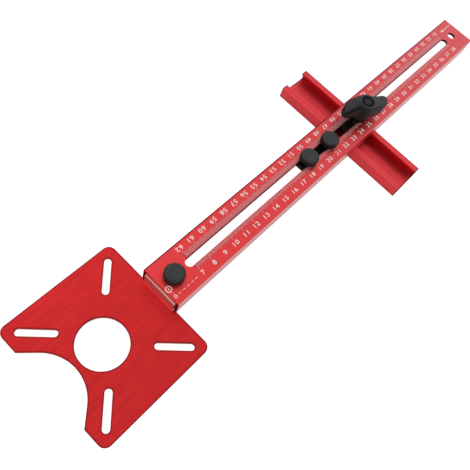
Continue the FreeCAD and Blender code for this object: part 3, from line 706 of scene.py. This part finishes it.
class GUIDEJIG_OT_ticks(bpy.types.Operator):
    """Prints the millimetre ticks on both sides of the slot"""
    bl_idname = "guidejig.ticks"
    bl_label = "Print ticks"

    def execute(self, context):
        scale = context.scene.guide_jig_scale
        ink = screen_print_ink("thin_print_ink", context.scene.guide_jig_colours.ticks)
        # On the side of the far row the ticks are longer.
        longer = 1.5 * MM
        half = scale.stroke / 2
        made = bmesh.new()
        for millimetre in range(scale.first * 10, scale.last * 10 + 1):
            if millimetre % 10 == 0:
                reach = scale.tick_long
            elif millimetre % 5 == 0:
                reach = scale.tick_middle
            else:
                reach = scale.tick_short
            x = millimetre * MM
            print_bar(made, x - half, -reach, x + half, -scale.tick_root)
            print_bar(made, x - half, scale.tick_root, x + half, reach + longer)
        new_piece("scale_ticks", mesh_from("scale_ticks", made), "base", ink)
        return {"FINISHED"}


class GUIDEJIG_OT_numbers(bpy.types.Operator):
    """Prints the two rows of numbers"""
    bl_idname = "guidejig.numbers"
    bl_label = "Print numbers"

    def execute(self, context):
        scale = context.scene.guide_jig_scale
        ink = screen_print_ink("screen_print_ink", context.scene.guide_jig_colours.print_white)
        made = bmesh.new()
        for number in range(scale.first, scale.last + 1):
            x = number * 10 * MM
            print_text(made, str(number), scale.digit_height, (x, -scale.near_row))
            print_text(made, str(scale.pair_sum - number), scale.digit_height, (x, scale.far_row), math.pi)
        new_piece("scale_numbers", mesh_from("scale_numbers", made), "base", ink)
        return {"FINISHED"}


class GUIDEJIG_OT_marks(bpy.types.Operator):
    """Prints the router mark with its nought and dashes, and the arrow at the far end"""
    bl_idname = "guidejig.marks"
    bl_label = "Print marks"

    def execute(self, context):
        ink = bpy.data.materials["screen_print_ink"]
        made = bmesh.new()
        self.router_mark(made)
        self.arrow(made)
        new_piece("scale_marks", mesh_from("scale_marks", made), "base", ink)
        return {"FINISHED"}

    @staticmethod
    def router_mark(made):
        """Ring with a dot, a nought with its stem, and the dashes that lead from it to the scale."""
        ring_place = (46.8 * MM, -4.0 * MM)
        ring_inner, ring_outer, dot = 1.62 * MM, 2.16 * MM, 0.52 * MM
        row = -10.0 * MM
        half_dash = 0.15 * MM
        first_dash, dash_length, dash_pitch, dashes = 49.4 * MM, 2.2 * MM, 3.4 * MM, 5

        print_ring(made, ring_place, ring_inner, ring_outer)
        print_ring(made, ring_place, 0.0, dot)
        print_text(made, "0", 2.6 * MM, (46.9 * MM, row))
        print_bar(made, 46.75 * MM, -7.9 * MM, 46.95 * MM, -7.0 * MM)
        for i in range(dashes):
            start = first_dash + i * dash_pitch
            print_bar(made, start, row - half_dash, start + dash_length, row + half_dash)

    @staticmethod
    def arrow(made):
        """Arrow towards the router."""
        row = 8.5 * MM
        tip, tail = 386.8 * MM, 403.0 * MM
        head_length, half_head = 4.4 * MM, 1.5 * MM
        shaft_start, half_shaft = 2.0 * MM, 0.22 * MM

        print_bar(made, tip + shaft_start, row - half_shaft, tail, row + half_shaft)
        head = ((tip, row), (tip + head_length, row + half_head), (tip + head_length, row - half_head))
        bottom, top = ([made.verts.new((x, y, z)) for x, y in head] for z in (PRINT_ROOT, PRINT_TOP))
        made.faces.new(bottom)
        made.faces.new(top)
        for i in range(3):
            made.faces.new((bottom[i - 1], bottom[i], top[i], top[i - 1]))


class GUIDEJIG_OT_round_knobs(bpy.types.Operator):
    """Moulds the three round knobs with their toothed rims"""
    bl_idname = "guidejig.round_knobs"
    bl_label = "Mould round knobs"

    def execute(self, context):
        knobs = context.scene.guide_jig_knobs
        nylon = moulded_nylon("moulded_nylon_knob", context.scene.guide_jig_colours.moulded, 0.46, 0.8)
        for node, stud in (("clamp_knob", "clamp_stud"), ("pivot_knob_near", "pivot_stud_near"),
                           ("pivot_knob_far", "pivot_stud_far")):
            low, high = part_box(node)
            mesh = self.knob(knobs, low, high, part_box(stud)[1].z - low.z)
            piece = new_piece(node + "_moulded", mesh, node, nylon)
            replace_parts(piece, node)
        return {"FINISHED"}

    @staticmethod
    def knob(knobs, low, high, bore_depth):
        """Round knob: bore for the stud, plain foot, toothed band, bevel, shallow dish in the top."""
        bore = 2.6 * MM
        foot_inset, foot_height = 1.1 * MM, 0.45 * MM
        tooth_steps = 8
        rim = (high.x - low.x) / 2
        height = high.z - low.z
        root = rim - knobs.tooth_depth
        foot = rim - foot_inset
        soft = knobs.soft_edge
        bevel = knobs.top_bevel
        drop = knobs.bevel_drop
        levels = (
            (bore, bore_depth),
            (bore, 0.0),
            (foot - soft, 0.0),
            (foot, soft * 0.6),
            (rim - soft * 0.5, root, foot_height),
            (rim, root, foot_height + soft),
            (rim, root, height - drop - soft),
            (rim - soft * 0.4, root, height - drop),
            (rim - bevel * 0.6, height - drop * 0.35),
            (rim - bevel, height - soft * 0.45),
            (rim - bevel - soft, height),
            (rim - bevel - soft * 3, height - 0.02 * MM),
            (rim * 0.4, height - 0.1 * MM),
            (rim * 0.05, height - 0.12 * MM),
        )
        return turned_mesh(
            "round_knob", levels, (low + high) / 2, low.z, knobs.teeth * tooth_steps, tooth_steps)


class GUIDEJIG_OT_wing_knob(bpy.types.Operator):
    """Finishes the wing knob and its cap"""
    bl_idname = "guidejig.wing_knob"
    bl_label = "Mould wing knob"

    def execute(self, context):
        nylon = moulded_nylon("moulded_nylon_wings", context.scene.guide_jig_colours.moulded)
        wings = new_piece(
            "wing_knob_moulded", self.wings(context.scene.guide_jig_knobs), "wing_knob", nylon)
        soften(wings, 0.2 * MM)
        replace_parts(wings, "wing_knob")
        dark = moulded_nylon("moulded_nylon_cap", context.scene.guide_jig_colours.cap, 0.3)
        low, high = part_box("wing_cap")
        rim = (high.x - low.x) / 2
        height = high.z - low.z
        # In from the rim and down from the top, in millimetres: side, edge, ring groove, dished middle.
        levels = [(rim - inset * MM, height - drop * MM) for inset, drop in (
            (0.1, 1.4), (0.0, 1.3), (0.0, 0.2), (0.1, 0.04), (0.2, 0.0), (0.6, 0.0), (0.66, 0.06),
            (0.75, 1.2), (1.55, 1.2), (1.65, 0.1), (1.75, 0.0), (3.0, 0.04), (4.8, 0.08))]
        mesh = turned_mesh("wing_cap_moulded", levels, (low + high) / 2, low.z, 96)
        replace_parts(new_piece("wing_cap_moulded", mesh, "wing_knob", dark), "wing_cap")
        return {"FINISHED"}

    @staticmethod
    def wings(knobs):
        """Wing knob with rounded upper rims. The pushed side of one wing slopes down from a ridge."""
        node = NODES["wing_knob"]
        low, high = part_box("wing_knob")
        middle = (low + high) / 2
        upright = (Matrix.Rotation(-knobs.wing_turn, 4, "Z")
                   @ Matrix.Translation((-middle.x, -middle.y, -low.z)))
        made = bmesh.new()
        made.from_mesh(node.data)
        made.transform(upright @ node.matrix_world)
        bmesh.ops.remove_doubles(made, verts=made.verts, dist=CAD_WELD)
        bmesh.ops.dissolve_limit(made, angle_limit=math.radians(1), verts=made.verts, edges=made.edges)
        bmesh.ops.recalc_face_normals(made, faces=made.faces)
        rim = []
        walls = []
        for edge in made.edges:
            a, b = (vert.co.copy() for vert in edge.verts)
            top, wall = sorted(edge.link_faces, key=lambda face: -face.normal.z)
            if top.normal.z > 0.7 and abs(wall.normal.z) < 0.3 and not on_hub((a + b) / 2):
                rim.append(edge)
                walls.append((a, b, wall.normal.copy()))
        bmesh.ops.bevel(
            made, geom=rim, offset=knobs.wing_rounding, offset_type="OFFSET", segments=6, profile=0.5,
            affect="EDGES", clamp_overlap=False)
        for vert in made.verts:
            slope_down(vert.co, walls, knobs.wing_rounding, knobs.wing_slope)
            vert.co.z = min(vert.co.z, high.z - low.z)
        made.transform(upright.inverted())
        return mesh_from("wing_knob_moulded", made)


class GUIDEJIG_OT_stage(bpy.types.Operator):
    """Sets up the floor, the lamps and the camera"""
    bl_idname = "guidejig.stage"
    bl_label = "Set up stage"

    def execute(self, context):
        scene = context.scene
        stage = scene.guide_jig_stage
        scene.view_settings.view_transform = "Standard"
        middle = (CAD_BOX[0] + CAD_BOX[1]) / 2
        self.add_floor(scene, middle)
        self.add_world(scene, stage.room_light)
        # The key lamp is beyond the far end of the arm, the fill lamp above the router's side.
        self.add_lamp(scene, "key_lamp", Vector((0.35, 0.95, 1.05)), middle, 0.9, stage.key_power)
        self.add_lamp(scene, "fill_lamp", Vector((0.3, -1.0, 0.9)), middle, 1.2, stage.fill_power)
        self.add_camera(scene, stage.lens)
        return {"FINISHED"}

    @staticmethod
    def add_floor(scene, middle):
        """Wide sheet of paper just below the part."""
        reach = 6.0
        level = CAD_BOX[0].z - 0.02 * MM
        made = bmesh.new()
        corners = ((-reach, -reach), (reach, -reach), (reach, reach), (-reach, reach))
        made.faces.new([made.verts.new((middle.x + x, middle.y + y, level)) for x, y in corners])
        mesh = mesh_from("floor", made)
        mesh.materials.append(studio_paper("studio_paper", scene.guide_jig_colours.paper))
        floor = bpy.data.objects.new("floor", mesh)
        scene.collection.objects.link(floor)

    @staticmethod
    def add_world(scene, room_light):
        """White room, which the camera and the reflections see at full strength."""
        world = bpy.data.worlds.new("studio")
        world.use_nodes = True
        tree = world.node_tree
        tree.nodes.clear()
        level = spread(tree, seen_by_camera(tree), 0.0, 1.0, room_light, 1.0)
        light = add_node(tree, "ShaderNodeBackground", {"Color": WHITE, "Strength": level})
        add_node(tree, "ShaderNodeOutputWorld", {"Surface": light.outputs["Background"]})
        scene.world = world

    @staticmethod
    def add_lamp(scene, name, place, target, size, power):
        """Square lamp that faces the part."""
        lamp = bpy.data.lights.new(name, "AREA")
        lamp.size = size
        lamp.energy = power
        holder = bpy.data.objects.new(name, lamp)
        holder.location = place
        holder.rotation_mode = "QUATERNION"
        holder.rotation_quaternion = (target - place).to_track_quat("-Z", "Y")
        scene.collection.objects.link(holder)

    @staticmethod
    def add_camera(scene, lens):
        """Camera at the photograph's angle."""
        camera = bpy.data.cameras.new("camera")
        camera.sensor_width = 36.0
        camera.lens = lens
        camera.clip_start = 0.01
        camera.clip_end = 50.0
        holder = bpy.data.objects.new("camera", camera)
        holder.location = (-0.0527326, -0.0619645, 0.3210466)
        holder.rotation_mode = "QUATERNION"
        holder.rotation_quaternion = Quaternion((0.8992426, 0.1634880, -0.1835658, -0.3618536))
        scene.collection.objects.link(holder)
        scene.camera = holder


class GUIDEJIG_PT_panel(bpy.types.Panel):
    """Lists the steps that finish the jig"""
    bl_idname = "GUIDEJIG_PT_panel"
    bl_label = "Guide jig"
    bl_space_type = "VIEW_3D"
    bl_region_type = "UI"
    bl_category = "Guide jig"

    def draw(self, context):
        for operator in OPERATORS:
            self.layout.operator(operator.bl_idname)
        for group in GROUPS:
            box = self.layout.box()
            values = getattr(context.scene, GROUPS[group])
            for name in group.__annotations__:
                box.prop(values, name)


OPERATORS = (
    GUIDEJIG_OT_metal,
    GUIDEJIG_OT_fittings,
    GUIDEJIG_OT_ticks,
    GUIDEJIG_OT_numbers,
    GUIDEJIG_OT_marks,
    GUIDEJIG_OT_round_knobs,
    GUIDEJIG_OT_wing_knob,
    GUIDEJIG_OT_stage,
)
GROUPS = {
    GuideJigColours: "guide_jig_colours",
    GuideJigScale: "guide_jig_scale",
    GuideJigKnobs: "guide_jig_knobs",
    GuideJigStage: "guide_jig_stage",
}


def register():
    """Makes the operators, the panel and the values known to Blender."""
    for group, name in GROUPS.items():
        bpy.utils.register_class(group)
        setattr(bpy.types.Scene, name, bpy.props.PointerProperty(type=group))
    for operator in OPERATORS:
        bpy.utils.register_class(operator)
    bpy.utils.register_class(GUIDEJIG_PT_panel)


def unregister():
    """Undoes register."""
    bpy.utils.unregister_class(GUIDEJIG_PT_panel)
    for operator in reversed(OPERATORS):
        bpy.utils.unregister_class(operator)
    for group, name in reversed(GROUPS.items()):
        delattr(bpy.types.Scene, name)
        bpy.utils.unregister_class(group)


def main():
    """Makes the whole scene."""
    register()
    bpy.ops.guidejig.metal()
    bpy.ops.guidejig.fittings()
    bpy.ops.guidejig.ticks()
    bpy.ops.guidejig.numbers()
    bpy.ops.guidejig.marks()
    bpy.ops.guidejig.round_knobs()
    bpy.ops.guidejig.wing_knob()
    bpy.ops.guidejig.stage()


if __name__ == "__main__":
    main()
